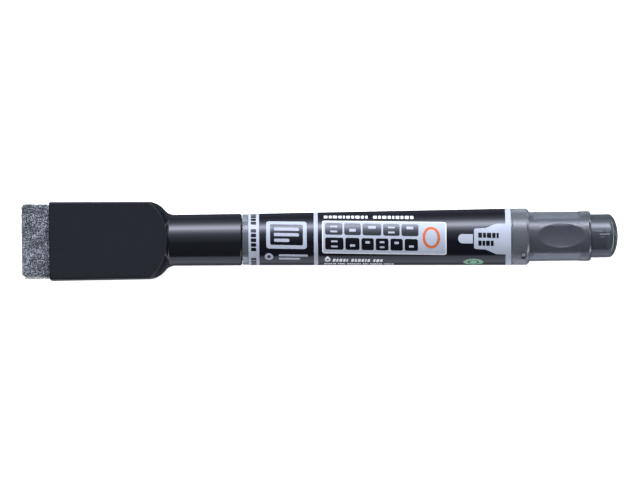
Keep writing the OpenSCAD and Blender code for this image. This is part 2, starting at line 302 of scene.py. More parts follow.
# Darkest and lightest colour, least and greatest roughness, and the other sockets
MOULDED = {
    "cap": ("cap_black_plastic", (0.0043, 0.0052, 0.0076), (0.0052, 0.0062, 0.0089),
            (0.09, 0.13), {"IOR": 1.5}),
    "section": ("section_black_plastic", (0.010, 0.011, 0.014), (0.014, 0.015, 0.019),
                (0.14, 0.20), {"IOR": 1.5}),
    "liner": ("liner_natural_plastic", (0.66, 0.66, 0.61), (0.72, 0.72, 0.68),
              (0.40, 0.52), {"IOR": 1.5, "Subsurface_Weight": 0.15}),
    "feed": ("feed_natural_plastic", (0.50, 0.51, 0.49), (0.58, 0.59, 0.57),
             (0.38, 0.50), {"IOR": 1.5}),
    "clear": ("clear_barrel_plastic", (0.225, 0.250, 0.290), (0.250, 0.275, 0.318), (0.07, 0.10),
              {"IOR": 1.49, "Transmission_Weight": 0.76, "Sheen_Weight": 0.2,
               "Sheen_Roughness": 0.3}),
    "tank": ("clear_tank_plastic", (0.86, 0.88, 0.88), (0.93, 0.94, 0.94),
             (0.05, 0.10), {"IOR": 1.49, "Transmission_Weight": 1.0}),
    "smoky": ("smoky_sleeve_plastic", (0.128, 0.148, 0.182), (0.142, 0.163, 0.198), (0.08, 0.11),
              {"IOR": 1.49, "Transmission_Weight": 0.74, "Sheen_Weight": 0.25,
               "Sheen_Roughness": 0.3}),
    "plug": ("plug_dark_plastic", (0.046, 0.057, 0.070), (0.053, 0.065, 0.079), (0.03, 0.05),
             {"IOR": 1.52, "Transmission_Weight": 0.46, "Sheen_Weight": 0.12,
              "Sheen_Roughness": 0.3}),
    "ink": ("wet_black_ink", (0.004, 0.004, 0.006), (0.006, 0.006, 0.009),
            (0.06, 0.12), {"IOR": 1.36}),
    "rubber": ("black_rubber", (0.018, 0.018, 0.020), (0.028, 0.028, 0.030),
               (0.55, 0.70), {"IOR": 1.5}),
    "steel": ("ball_steel", (0.52, 0.53, 0.55), (0.62, 0.63, 0.65),
              (0.12, 0.22), {"Metallic": 1.0}),
    "film": ("label_black_film", (0.0026, 0.0028, 0.0056), (0.0034, 0.0036, 0.0070),
             (0.09, 0.12), {"IOR": 1.5}),
    "silver": ("label_silver_print", (0.295, 0.325, 0.405), (0.325, 0.355, 0.440),
               (0.44, 0.54), {"IOR": 1.45}),
    "white": ("label_white_print", (0.56, 0.58, 0.64), (0.62, 0.64, 0.70),
              (0.35, 0.45), {"IOR": 1.5}),
    "black_print": ("label_black_print", (0.0030, 0.0030, 0.0050), (0.0045, 0.0045, 0.0070),
                    (0.14, 0.20), {"IOR": 1.4}),
    "orange": ("label_orange_print", (0.40, 0.078, 0.018), (0.46, 0.096, 0.023),
               (0.45, 0.55), {"IOR": 1.4}),
    "green": ("label_green_print", (0.115, 0.27, 0.175), (0.150, 0.34, 0.220),
              (0.30, 0.40), {"IOR": 1.5}),
}


def felt_material(name, light_shift):
    """Pressed felt: dark and light fibres mixed at three scales, very rough, with a soft sheen."""
    material = new_material(name, Roughness=0.95, Sheen_Weight=0.15, Sheen_Roughness=0.5)
    tree = material.node_tree
    place = coordinates(tree)
    fine = ramp(tree, noise_map(tree, place, 3.6, 1.0, 0.6), [
        (0.40, (0.004, 0.006, 0.009)), (0.47, (0.040, 0.048, 0.062)),
        (0.54, (0.155, 0.172, 0.205)), (0.63, (0.300, 0.325, 0.375)),
    ])
    middle = ramp(tree, noise_map(tree, place, 1.3, 1.0),
                  [(0.38, 0.45 + light_shift), (0.60, 1.15 + light_shift)])
    coarse = ramp(tree, noise_map(tree, place, 0.45, 1.0),
                  [(0.38, 0.65 + light_shift), (0.62, 1.20 + light_shift)])
    link(tree, multiply(tree, multiply(tree, fine, middle), coarse), "Base Color")
    strands = noise_map(tree, coordinates(tree, (1.0, 2.0, 1.0)), 5.0, 4.0, 0.7)
    link(tree, bump(tree, strands, 0.12, 0.8), "Normal")
    return material


def fibre_material():
    """Bonded fibre nib: fine streaks along its length, soaked with ink."""
    material = new_material("nib_fibre", Roughness=0.6)
    tree = material.node_tree
    streaks = noise_map(tree, coordinates(tree, (0.15, 3.0, 3.0)), 3.0, 4.0, 0.7)
    link(tree, ramp(tree, streaks, [(0.3, (0.010, 0.010, 0.014)), (0.7, (0.045, 0.047, 0.056))]),
         "Base Color")
    link(tree, bump(tree, streaks, 0.03, 0.8), "Normal")
    return material


# The grey print's painted highlight fades between these distances from the label's middle line
FADE_LOW, FADE_HIGH = 0.9, 3.7


def graded_print_material():
    """Grey print with a painted highlight: mid grey near its upper edge, where the lamp's highlight
    falls, fading to near black lower down.
    """
    material = new_material("label_graded_print", Roughness=0.12, IOR=1.4)
    tree = material.node_tree
    height = add_node(tree, "SeparateXYZ", {"Vector": coordinates(tree)}).outputs["Y"]
    # The ramp paints the lamp's highlight into the base colour, lightest three quarters of the way
    # up
    link(tree, ramp(tree, map_range(tree, height, FADE_LOW, FADE_HIGH), [
        (0.0, (0.016, 0.018, 0.024)), (0.45, (0.030, 0.034, 0.043)),
        (0.75, (0.068, 0.075, 0.090)), (1.0, (0.048, 0.054, 0.066)),
    ]), "Base Color")
    return material


M = {key: moulded(*look) for key, look in MOULDED.items()}
M["felt"] = felt_material("felt_grey", 0.0)
M["felt_light"] = felt_material("felt_fibre_light", 0.25)
M["nib"] = fibre_material()
M["graded"] = graded_print_material()


# ---------------- cap

HEAD_TAPER = 0.15
HEAD_EDGE = 0.38
BROW_EDGE = 0.04
SHOULDER_L = 4.9
COLLAR_R = 6.0
COLLAR_MOUTH_R = 6.08
X_COLLAR = X_MOUTH - 16.5
X_SHOULDER = X_COLLAR - SHOULDER_L
# The side curve seen from above, and the turned brow that cuts the flat faces to an arc
SIDE_R = 5.2
SIDE_FILLET = 3.0
X_SIDE = X_SHOULDER - 0.7
BROW_R = 11.5
BROW_RISE = 1.15
X_BROW = X_SHOULDER - 6.25
BROW_FILLET_TOP = 0.4
BROW_FILLET_SIDE = 2.4
# How fast the fillet narrows away from the two sides
FILLET_POWER = 8
# The side curve spreads here, clear of the collar, so that the brow alone shapes the fillet
FLARE = 0.8
FLARE_REACH = (X_SHOULDER + 4.4, X_SHOULDER + 5.0)


def shoulder_radius(x, x_centre, rise, radius, fillet):
    """Height of a round shoulder with a fillet into the collar, at station x."""
    collar = mix(COLLAR_R, COLLAR_MOUTH_R, max(0.0, (x - X_COLLAR) / (X_MOUTH - X_COLLAR)))
    across = math.sqrt((radius + fillet) ** 2 - (COLLAR_R + fillet - rise) ** 2)
    touch = x_centre + across * radius / (radius + fillet)
    if x <= touch:
        return rise + math.sqrt(radius ** 2 - max(x - x_centre, 0.0) ** 2)
    if x <= x_centre + across:
        return COLLAR_R + fillet - math.sqrt(fillet ** 2 - (x_centre + across - x) ** 2)
    return collar


def head_section(x, inset):
    """Half width, half thickness and the brow's radius as a function of angle, at station x."""
    taper = HEAD_TAPER * min(max((x - X_RIM) / (X_SIDE - X_RIM), 0.0), 1.0)
    if x <= X_SIDE:
        width = HEAD_HALF_W - taper
    else:
        width = shoulder_radius(x, X_SIDE, HEAD_HALF_W - HEAD_TAPER - SIDE_R, SIDE_R, SIDE_FILLET)
    width += FLARE * smoothstep(*FLARE_REACH, x)

    def brow(angle):
        fillet = mix(BROW_FILLET_TOP, BROW_FILLET_SIDE, math.cos(angle) ** FILLET_POWER)
        if x < X_BROW:
            return BROW_RISE + BROW_R
        return shoulder_radius(x, X_BROW, BROW_RISE, BROW_R, fillet)

    return width - inset, HEAD_HALF_T - inset, brow


def solve_radius(angle, width, thick, brow_r, edge, brow_edge):
    """Distance from the axis at which the smooth-edged section is met."""
    c, s = math.cos(angle), math.sin(angle)
    low, high = 0.0, 1.05 * brow_r + 1.0
    for _ in range(34):
        r = (low + high) / 2
        box = smooth_max(r * s - thick, r * c - width, edge)
        if smooth_max(box, r - brow_r, brow_edge) > 0:
            high = r
        else:
            low = r
    return (low + high) / 2


# A brow's radius that leaves the box whole
NO_BROW = 100.0
# Places of a quarter's points along the side, the corner and the top
SIDE_STEPS = (0.0, 0.2, 0.4, 0.58, 0.74, 0.87, 0.95, 1.0)
CORNER_STEPS = (0.05, 0.12, 0.21, 0.3, 0.4, 0.5, 0.6, 0.7, 0.79, 0.87, 0.93, 0.965, 0.985, 0.995)
TOP_STEPS = (1.0, 0.992, 0.98, 0.96, 0.91, 0.82, 0.7, 0.56, 0.42, 0.28, 0.14)
LEAST_TOP = 2.6
LEAST_SIDE = 1.6


def quarter_angles(width, thick, brow_r):
    """Angles of the section's points from the side to the middle of the top, which follow its
    edges so that each edge has its own line of points along the cap."""
    top = width - HEAD_EDGE * 1.6
    side = thick - HEAD_EDGE * 1.6
    if brow_r ** 2 > thick ** 2:
        top = min(top, math.sqrt(brow_r ** 2 - thick ** 2))
    else:
        top = 0.0
    side = min(side, math.sqrt(max(brow_r ** 2 - width ** 2, 0.0)))
    top, side = max(top, LEAST_TOP), max(side, LEAST_SIDE)
    side_angle = math.atan2(side, width)
    top_angle = math.atan2(thick, top)
    angles = [math.atan2(side * t, width) for t in SIDE_STEPS]
    angles += [mix(side_angle, top_angle, t) for t in CORNER_STEPS]
    angles += [math.atan2(thick, top * t) for t in TOP_STEPS]
    return angles


def full_turn(quarter):
    """Repeats the quarter's (y, z) points round the section. Its first point has z = 0, and its
    last is off the middle line, so that mirroring doubles no point there."""
    upper = quarter + [(-y, z) for y, z in reversed(quarter[1:])]
    return upper + [(-y, -z) for y, z in quarter] + [(y, -z) for y, z in reversed(quarter[1:])]


def edge_loop(x, width, thick, brow, edge, brow_edge):
    """Ring of points round a box cut by a round brow, whose radius follows from the angle."""
    quarter = []
    for angle in quarter_angles(width, thick, brow(math.pi / 4)):
        r = solve_radius(angle, width, thick, brow(angle), edge, brow_edge)
        quarter.append((r * math.cos(angle), r * math.sin(angle)))
    return [(x, y, z) for y, z in full_turn(quarter)]


def section_loop(x, inset=0.0):
    """Ring of points round the cap at station x."""
    return edge_loop(x, *head_section(x, inset), HEAD_EDGE, BROW_EDGE)


def box_loop(x, width, thick, corner):
    """Ring of as many points as section_loop gives, round a rectangle with round corners."""
    return edge_loop(x, width, thick, lambda angle: NO_BROW, corner, 0.2)


def round_loop(x, r, like):
    """Ring of radius r whose points stand at the same angles as those of another ring."""
    return [(x, r * math.cos(a), r * math.sin(a)) for a in (math.atan2(p[2], p[1]) for p in like)]


def stations(low, high, count):
    return [mix(low, high, k / (count - 1)) for k in range(count)]


def build_cap():
    rim_edge = 0.42
    pocket = (half_width("felt_eraser") + 0.05, 6.05)
    pocket_corner = 1.5
    loops = [
        [(X_FELT_BACK, 0.0, 0.0)],
        box_loop(X_FELT_BACK, *pocket, pocket_corner),
        box_loop(X_RIM + 0.12, *pocket, pocket_corner),
        box_loop(X_RIM + 0.03, pocket[0] + 0.03, pocket[1] + 0.03, pocket_corner),
        box_loop(X_RIM, pocket[0] + 0.12, pocket[1] + 0.12, pocket_corner),
    ]
    for k in range(7):
        turn = math.pi / 2 * k / 6
        loops.append(section_loop(X_RIM + rim_edge * (1 - math.cos(turn)),
                                  rim_edge * (1 - math.sin(turn))))
    for first, last, count in ((X_RIM + 1.2, X_SIDE - 0.6, 14),
                               (X_SIDE - 0.4, X_SHOULDER + 3.0, 30),
                               (X_SHOULDER + 3.05, X_COLLAR + 0.15, 32),
                               (X_COLLAR + 0.25, X_COLLAR + 1.6, 8)):
        loops += [section_loop(x) for x in stations(first, last, count)]
    like = loops[-1]
    for x in stations(X_COLLAR + 2.2, X_MOUTH - 0.9, 8):
        r = mix(COLLAR_R, COLLAR_MOUTH_R, (x - X_COLLAR) / (X_MOUTH - X_COLLAR))
        loops.append(round_loop(x, r, like))
    mouth = rounded([
        (X_MOUTH - 0.8, COLLAR_MOUTH_R), (X_MOUTH - 0.32, COLLAR_MOUTH_R, 0.18),
        (X_MOUTH, COLLAR_MOUTH_R - 0.34, 0.12), (X_MOUTH, 5.18, 0.06), (X_MOUTH - 0.2, 5.05, 0.1),
        (X_MOUTH - 4.8, 5.05), (X_MOUTH - 5.15, 5.05, 0.1), (X_MOUTH - 5.4, 5.24, 0.15),
        (X_MOUTH - 5.65, 5.05, 0.1), (X_MOUTH - 6.0, 5.05), (X_THIMBLE_MOUTH - 0.8, 5.05),
        (X_THIMBLE_MOUTH - 0.8, 4.3), (X_THIMBLE - 0.05, 4.3),
    ])
    loops += [round_loop(x, r, like) for x, r in mouth]
    loops.append([(X_THIMBLE - 0.05, 0.0, 0.0)])
    cap = skin("cap_shell_moulding", loops, "cap", "cap_plastic", [M["cap"]])
    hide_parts("cap_shell")

    x0, x1 = X_THIMBLE, X_THIMBLE_MOUTH
    thimble = lathe("inner_cap_thimble", rounded([
        (x0, 0), (x0, 4.25, 0.5), (x1 - 0.8, 4.25), (x1 - 0.8, 4.9, 0.1), (x1, 4.9, 0.15),
        (x1, 3.7, 0.1), (x1 - 0.5, 3.38, 0.2), (x0 + 0.7, 3.38, 0.4), (x0 + 0.7, 0),
    ]), "cap", "liner_plastic", [M["liner"]])
    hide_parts("inner_cap")


# ---------------- eraser felt

FELT_CELL = 0.24
FELT_HALF_W = half_width("felt_eraser")
FELT_HALF_T = 6.0
FELT_CORNER = 1.0
# The rim pinches the felt, and its free part is a little smaller and off centre
FELT_PINCH = 0.2
FELT_INSET = 0.12
FELT_SHIFT = 0.2


def felt_push(point, outward):
    """Moves a surface point in or out for the felt's uneven pile, which dies out at the rim."""
    out = X_RIM - point.x
    free = smoothstep(0.1, 1.2, out)
    pinch = FELT_PINCH * (1 - smoothstep(0.05, 0.6, out)) * smoothstep(-0.5, 0.0, out)
    broad = noise.noise(point * 0.55)
    tufts = noise.noise(point * 2.1 + Vector((7.0, 3.0, 1.0)))
    pile = noise.noise(point * 5.2 + Vector((1.0, 9.0, 4.0)))
    point = point + Vector((0, FELT_SHIFT * free, 0))
    rise = 0.10 * broad + 0.07 * tufts + 0.06 * pile - FELT_INSET
    return point + outward * (free * rise - pinch)


def build_felt():
    """Rounded block with a fine grid on the part that stands out of the head."""
    length = X_FELT_BACK - X_FELT
    free = X_RIM - X_FELT + 0.6
    xs = stations(0.0, free, int(free / FELT_CELL) + 1) + [free + 2, free + 6, length]
    ys = stations(-FELT_HALF_W, FELT_HALF_W, int(2 * FELT_HALF_W / FELT_CELL) + 1)
    zs = stations(-FELT_HALF_T, FELT_HALF_T, int(2 * FELT_HALF_T / FELT_CELL) + 1)
    index, verts, faces = {}, [], []

    def vertex(x, y, z):
        key = (round(x, 4), round(y, 4), round(z, 4))
        if key not in index:
            index[key] = len(verts)
            inner = Vector((
                min(max(x, FELT_CORNER), length),
                min(max(y, -FELT_HALF_W + FELT_CORNER), FELT_HALF_W - FELT_CORNER),
                min(max(z, -FELT_HALF_T + FELT_CORNER), FELT_HALF_T - FELT_CORNER),
            ))
            spot, outward = inner, Vector((x, y, z)) - inner
            if outward.length > 1e-6:
                outward.normalize()
                spot = inner + outward * FELT_CORNER
            else:
                outward = Vector((1, 0, 0))
            spot.x += X_FELT
            verts.append(felt_push(spot, outward)[:])
        return index[key]

    def sheet(first, second, place):
        for a0, a1 in zip(first, first[1:]):
            for b0, b1 in zip(second, second[1:]):
                corners = ((a0, b0), (a1, b0), (a1, b1), (a0, b1))
                faces.append([vertex(*place(a, b)) for a, b in corners])

    sheet(ys, zs, lambda y, z: (0.0, y, z))
    sheet(ys, zs, lambda y, z: (length, y, z))
    for side in (-1, 1):
        sheet(xs, zs, lambda x, z: (x, side * FELT_HALF_W, z))
        sheet(xs, ys, lambda x, y: (x, y, side * FELT_HALF_T))
    felt = add_mesh("felt_eraser_block", verts, faces, "cap", "felt", [M["felt"]], sharp=180)
    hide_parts("felt_eraser")
    return felt


def felt_spot(rng):
    """Random place on the felt's free surface and its outward direction."""
    free = X_RIM - X_FELT
    front = 4 * FELT_HALF_W * FELT_HALF_T
    sides = 4 * free * (FELT_HALF_W + FELT_HALF_T)
    x = X_FELT + rng.uniform(0.5, free - 0.25)
    if rng.random() < front / (front + sides):
        y = rng.uniform(-FELT_HALF_W + 0.5, FELT_HALF_W - 0.5)
        z = rng.uniform(-FELT_HALF_T + 0.5, FELT_HALF_T - 0.5)
        return Vector((X_FELT, y, z)), Vector((-1, 0, 0))
    side = rng.choice((-1, 1))
    if rng.random() < FELT_HALF_W / (FELT_HALF_W + FELT_HALF_T):
        y = rng.uniform(-FELT_HALF_W + 0.5, FELT_HALF_W - 0.5)
        return Vector((x, y, side * FELT_HALF_T)), Vector((0, 0, side))
    z = rng.uniform(-FELT_HALF_T + 0.5, FELT_HALF_T - 0.5)
    return Vector((x, side * FELT_HALF_W, z)), Vector((0, side, 0))


FIBRE_STEPS = 4
# How deep a fibre's ends sit in the felt
FIBRE_ROOT = 0.08


def build_fibres(name, count, seed, material):
    """Loose fibres that curl over the felt, each a thin three-sided tube."""
    rng = random.Random(seed)
    verts, faces = [], []
    for _ in range(count):
        start, outward = felt_spot(rng)
        heading = Vector((rng.uniform(-1, 1), rng.uniform(-1, 1), rng.uniform(-1, 1)))
        heading = (heading - outward * heading.dot(outward)).normalized()
        across = outward.cross(heading)
        length = rng.uniform(0.35, 0.95)
        bend = rng.uniform(-0.5, 0.5)
        lift = rng.uniform(0.03, 0.15)
        thick = rng.uniform(0.012, 0.022)
        base = len(verts)
        for k in range(FIBRE_STEPS + 1):
            t = k / FIBRE_STEPS
            centre = start + heading * length * (t - 0.5) + across * bend * length * t * (1 - t)
            centre += outward * (lift * 4 * t * (1 - t) - FIBRE_ROOT)
            r = thick * (1 - 0.6 * abs(2 * t - 1))
            for corner in range(3):
                turn = math.tau * corner / 3
                spot = centre + across * r * math.cos(turn) + outward * r * math.sin(turn)
                verts.append(spot[:])
        for k in range(FIBRE_STEPS):
            for corner in range(3):
                a = base + 3 * k + corner
                b = base + 3 * k + (corner + 1) % 3
                faces.append((a, b, b + 3, a + 3))
        faces.append((base, base + 2, base + 1))
        end = base + 3 * FIBRE_STEPS
        faces.append((end, end + 1, end + 2))
    return add_mesh(name, verts, faces, "cap", "felt", [material], sharp=180)


# ---------------- barrel

RING_R = 5.95
SEAT_FRONT_R = 5.97
SEAT_REAR_R = 6.57
NECK_R = 4.8
WINDOW_W = 1.9
# One wall of each window leans, so this half of the window is narrower at the bore
WINDOW_INNER = 0.72
WINDOW_X = (X_BARREL_END - 1.9, X_BARREL_END - 0.9)
# Middles of the two latch windows, as angles from +y towards +z
WINDOW_ANGLES = (math.radians(136), math.radians(316))
REAR_BORE_R = SLEEVE_R + 0.075
MAIN_BORE_R = 5.35


def build_barrel():
    x0, x1, x2, x3 = X_NECK, X_MOUTH + 0.1, X_LABEL, X_LABEL_END
    end = X_BARREL_END
    profile = rounded([
        (x0, 4.25, 0.08), (x0, NECK_R, 0.15), (x1 - 5.85, NECK_R, 0.1),
        (x1 - 5.5, NECK_R + 0.15, 0.2), (x1 - 5.15, NECK_R, 0.1), (x1, NECK_R, 0.2),
        (x1, RING_R, 0.12), (x2, RING_R),
        (x2 + 0.02, SEAT_FRONT_R), (x3, SEAT_REAR_R), (x3 + 0.01, BARREL_R, 0.06),
        (x3 + 0.25, BARREL_R), (x3 + 0.37, BARREL_R - 0.1, 0.03), (x3 + 0.49, BARREL_R),
        (WINDOW_X[0], BARREL_R), (WINDOW_X[1], BARREL_R), (end - 0.6, BARREL_R, 0.12),
        (end, BARREL_R - 0.6, 0.08), (end, REAR_BORE_R, 0.06), (WINDOW_X[1], REAR_BORE_R),
        (WINDOW_X[0], REAR_BORE_R), (end - 11.6, REAR_BORE_R), (end - 11.6, MAIN_BORE_R),
        (X_SECTION_END + 0.4, MAIN_BORE_R), (X_SECTION_END + 0.4, 4.25),
    ], closed=True)
    half = WINDOW_W / 2 / BARREL_R
    angles = even_angles(SEGMENTS)
    for turn in WINDOW_ANGLES:
        angles = [a for a in angles if abs(a - turn) > half + 0.012]
        angles += [turn - half, turn, turn + half]
    angles.sort()
    outer = nearest(profile, (WINDOW_X[0], BARREL_R))
    inner = nearest(profile, (WINDOW_X[1], REAR_BORE_R))
    windows = []
    for turn in WINDOW_ANGLES:
        first = angles.index(turn - half)
        windows.append((outer, inner, first, first + 2))
    lean = {turn + half: turn + WINDOW_INNER / REAR_BORE_R for turn in WINDOW_ANGLES}
    inner_angles = [lean.get(a, a) for a in angles]
    loops = [ring(x, r, inner_angles if k in (inner, inner + 1) else angles)
             for k, (x, r) in enumerate(profile)]
    barrel = skin("barrel_moulding", loops, "barrel", "clear_plastic", [M["clear"]], closed=True,
                  windows=windows)
    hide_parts("barrel")


FILM_T = 0.065
# Height of the film's outer face over the barrel
FILM_RISE = 0.08


def film_radius(x):
    return mix(SEAT_FRONT_R, SEAT_REAR_R, (x - X_LABEL) / (X_LABEL_END - X_LABEL)) + FILM_RISE


# Bands of the label along the axis: (end, is silver)
BANDS = ((2.54, True), (15.36, False), (16.3, True), (60.3, False), (61.6, True))


def build_label():
    """Closed film round the barrel. Silver bands are rows of its outer surface."""
    outer, silver = [], []
    start = 0.0
    for end, is_silver in BANDS:
        rows = stations(start, end, max(2, int((end - start) / 1.5) + 1))[:-1]
        outer += [X_LABEL + x for x in rows]
        silver += [is_silver] * len(rows)
        start = end
    profile = [(x, film_radius(x)) for x in outer]
    profile[0] = (X_LABEL + 0.02, film_radius(X_LABEL) - 0.02)
    profile.append((X_LABEL_END - 0.01, film_radius(X_LABEL_END) - 0.01))
    profile += [(x, film_radius(x) - FILM_T) for x in (X_LABEL_END - 0.01, X_LABEL + 0.02)]
    silver += [False] * 3
    film = lathe("label_film_wrap", profile, "barrel", "label", [M["film"], M["silver"]],
                 closed=True, row_material=lambda i: int(silver[i]))
    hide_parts("label_film")


SECTION_R = 4.0
RIBS = 24
RIB_W = 0.35
RIB_RISE = 0.21
# Points of one rib and the gap after it: angle in half ribs and in half pitches, and whether
# the point is on the rib
RIB_POINTS = ((-1.25, 0, 0), (-1, 0, 1), (0, 0, 1), (1, 0, 1), (1.25, 0, 0), (0, 0.55, 0),
              (0, 1, 0), (0, 1.45, 0))


def build_section():
    """Nib holder. Its plug carries fine ribs that show through the clear ring."""
    flange = X_NECK - 1
    land = flange - 5.3
    nib_r = half_width("nib")
    nib_bore = nib_r + 0.05
    nose_r = nib_r + 0.6
    half_rib = RIB_W / 2 / (SECTION_R + 0.1)
    angles = [math.tau * k / RIBS + rib * half_rib + gap * math.pi / RIBS
              for k in range(RIBS) for rib, gap, _ in RIB_POINTS]
    radii = [SECTION_R + RIB_RISE * raised for _, _, raised in RIB_POINTS] * RIBS
    front = rounded([
        (X_WICK - 0.5, nib_bore), (X_NOSE + 0.25, nib_bore), (X_NOSE, nib_bore + 0.12, 0.08),
        (X_NOSE, nose_r - 0.2, 0.1), (X_NOSE + 0.35, nose_r, 0.25), (land, 3.3, 0.8),
        (land + 1.6, 3.3), (land + 1.75, 3.2, 0.05), (land + 1.95, 3.2, 0.05), (land + 2.1, 3.3),
        (flange, 3.3, 0.25), (flange, 4.6, 0.2), (X_NECK, 4.6, 0.12), (X_NECK, SECTION_R),
        (X_SECTION_END - 8.55, SECTION_R),
    ])
    loops = [ring(x, r, angles) for x, r in front]
    for x in (X_SECTION_END - 8.5, X_SECTION_END - 0.05):
        loops.append([(x, r * math.cos(a), r * math.sin(a)) for a, r in zip(angles, radii)])
    back = ((X_SECTION_END, SECTION_R), (X_SECTION_END, 3.2), (X_NECK, 3.2), (X_NECK, 2.4),
            (X_WICK - 0.5, 2.4))
    loops += [ring(x, r, angles) for x, r in back]
    section = skin("front_section_moulding", loops, "barrel", "section_plastic",
                   [M["section"]], closed=True)
    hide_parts("front_section")

    nib = lathe("nib_bullet", rounded([
        (X_NIB, 0), (X_NIB, 0.34, 0.3), (X_NIB + 0.35, 0.62, 0.5), (X_NIB + 1.45, nib_r, 0.6),
        (X_WICK, nib_r, 0.05), (X_WICK, 0),
    ]), "barrel", "nib_fibre", [M["nib"]])
    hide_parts("nib")


# ---------------- cartridge

SCOOP_L = 10.8
SCOOP_DEPTH = 1.0
SCOOP_R = (SCOOP_L ** 2 / 4 + SCOOP_DEPTH ** 2) / (2 * SCOOP_DEPTH)
SCOOP_CENTRE = SLEEVE_R - SCOOP_DEPTH + SCOOP_R
SCOOP_EDGE = 0.05
X_SCOOP = X_BARREL_END + 7.5


def scooped_radius(r, x, angle_from_top):
    """Radius of the sleeve's outside, cut by the dish of the scoop with a small soft edge."""
    c, s = math.cos(angle_from_top), math.sin(angle_from_top)
    inside = SCOOP_R ** 2 - (x - X_SCOOP) ** 2 - (SCOOP_CENTRE * s) ** 2
    if inside < 0 or c < 0.5:
        return r
    return -smooth_max(-r, math.sqrt(inside) - SCOOP_CENTRE * c, SCOOP_EDGE)


# Places of the points across the scoop, from its middle to its edge, and its least half angle
SCOOP_STEPS = (0.0, 0.12, 0.25, 0.38, 0.5, 0.62, 0.73, 0.82, 0.89, 0.94, 0.975, 1.0)
LEAST_SCOOP = math.radians(9)


def scooped_loop(x, r):
    """Ring whose points follow the scoop's edge."""
    c = (r ** 2 + SCOOP_CENTRE ** 2 + (x - X_SCOOP) ** 2 - SCOOP_R ** 2) / (2 * r * SCOOP_CENTRE)
    half = max(math.acos(min(c, 1.0)), LEAST_SCOOP)
    right = [half * t for t in SCOOP_STEPS]
    right += [mix(half, math.pi, t) for t in
              (0.012, 0.03, 0.055, 0.09, *[0.09 + 0.91 * k / 60 for k in range(1, 60)])]
    turns = right + [math.pi] + [-t for t in reversed(right[1:])]
    return [(x, scooped_radius(r, x, t) * math.sin(t), scooped_radius(r, x, t) * math.cos(t))
            for t in turns]


LUG_HALF_L = 0.42
LUG_EDGE = 0.08
# Where the lugs begin and end round the sleeve, from their windows' middles
LUG_START, LUG_END = -0.15, 0.85


def latch_lugs_painted_glint():
    """The two lugs that show in the barrel's windows, each a block with bevelled edges. They are
    drawn in the liner's light plastic, not the sleeve's smoky plastic, as a painted glint in each
    window.
    """
    low, high = SLEEVE_R - 0.3, SLEEVE_R + 0.05
    middle = sum(WINDOW_X) / 2
    verts, faces = [], []
    for turn in WINDOW_ANGLES:
        base = len(verts)
        outward = Vector((0, math.cos(turn), math.sin(turn)))
        along = Vector((0, -math.sin(turn), math.cos(turn)))
        for inset, r in ((0.0, low), (0.0, high - LUG_EDGE), (LUG_EDGE, high)):
            reach, w0, w1 = LUG_HALF_L - inset, LUG_START + inset, LUG_END - inset
            for x, side in ((-reach, w0), (reach, w0), (reach, w1), (-reach, w1)):
                verts.append((outward * r + along * side + Vector((middle + x, 0, 0)))[:])
        faces += [range(base, base + 4), range(base + 8, base + 12)]
        for level in (base, base + 4):
            faces += [(level + k, level + (k + 1) % 4, level + 4 + (k + 1) % 4, level + 4 + k)
                      for k in range(4)]
    # The light liner plastic here is a painted glint in the windows
    return add_mesh("latch_lugs_painted_glint", verts, faces, "cartridge", "smoky_plastic", [M["liner"]])


def build_sleeve():
    end = X_SLEEVE_END
    rim, rim_r = end - 2.7, SLEEVE_R + RIM_RISE
    before = rounded([
        (X_SLEEVE, 4.9, 0.08), (X_SLEEVE, SLEEVE_R, 0.2), (X_SLEEVE + 1.0, SLEEVE_R),
        (X_BARREL_END, SLEEVE_R), (X_SCOOP - SCOOP_L * 0.58, SLEEVE_R),
    ])
    after = rounded([
        (rim + 1.6, rim_r), (end - 0.45, rim_r, 0.2), (end, SLEEVE_R - 0.3, 0.12), (end, 5.2, 0.05),
        (end - 0.12, 5.13), (end - 2.4, 5.13), (end - 2.4, 4.2), (X_TUBE_END, 4.2),
        (X_TUBE_END, 4.8), (X_SLEEVE + 0.1, 4.8),
    ])
    loops = [scooped_loop(x, r) for x, r in before]
    for x in stations(X_SCOOP - SCOOP_L * 0.56, rim - 0.1, 90):
        loops.append(scooped_loop(x, SLEEVE_R))
    for x in stations(rim, rim + 1.5, 18):
        loops.append(scooped_loop(x, rim_r))
    loops += [round_loop(x, r, loops[-1]) for x, r in after]
    sleeve = skin("tail_sleeve_moulding", loops, "cartridge", "smoky_plastic", [M["smoky"]],
                  closed=True, sharp=40)
    lugs = latch_lugs_painted_glint()
    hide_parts("tail_sleeve")
    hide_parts("tail_sleeve")


DOME = 2.2
X_DOME = X_TAIL - DOME
PLUG_R = half_width("tail_plug")
LINE_W = 0.4
LINE_RISE = 0.068
LINE_ROOT = -0.005
# Mould lines along the plug's top: distance from the top, first and last x from the sleeve
MOULD_LINES = ((0.9, 0.35, 4.4), (0.15, 2.0, 4.3), (-0.5, 2.2, 3.1))
# Gate mark on the dome: its place, and its rings (radius, height over the dome)
GATE_X, GATE_Y = X_DOME + 1.42, 0.45
GATE_RINGS = ((0.58, -0.1), (0.58, 0.03), (0.52, 0.09), (0.4, 0.11), (0.0, 0.12))


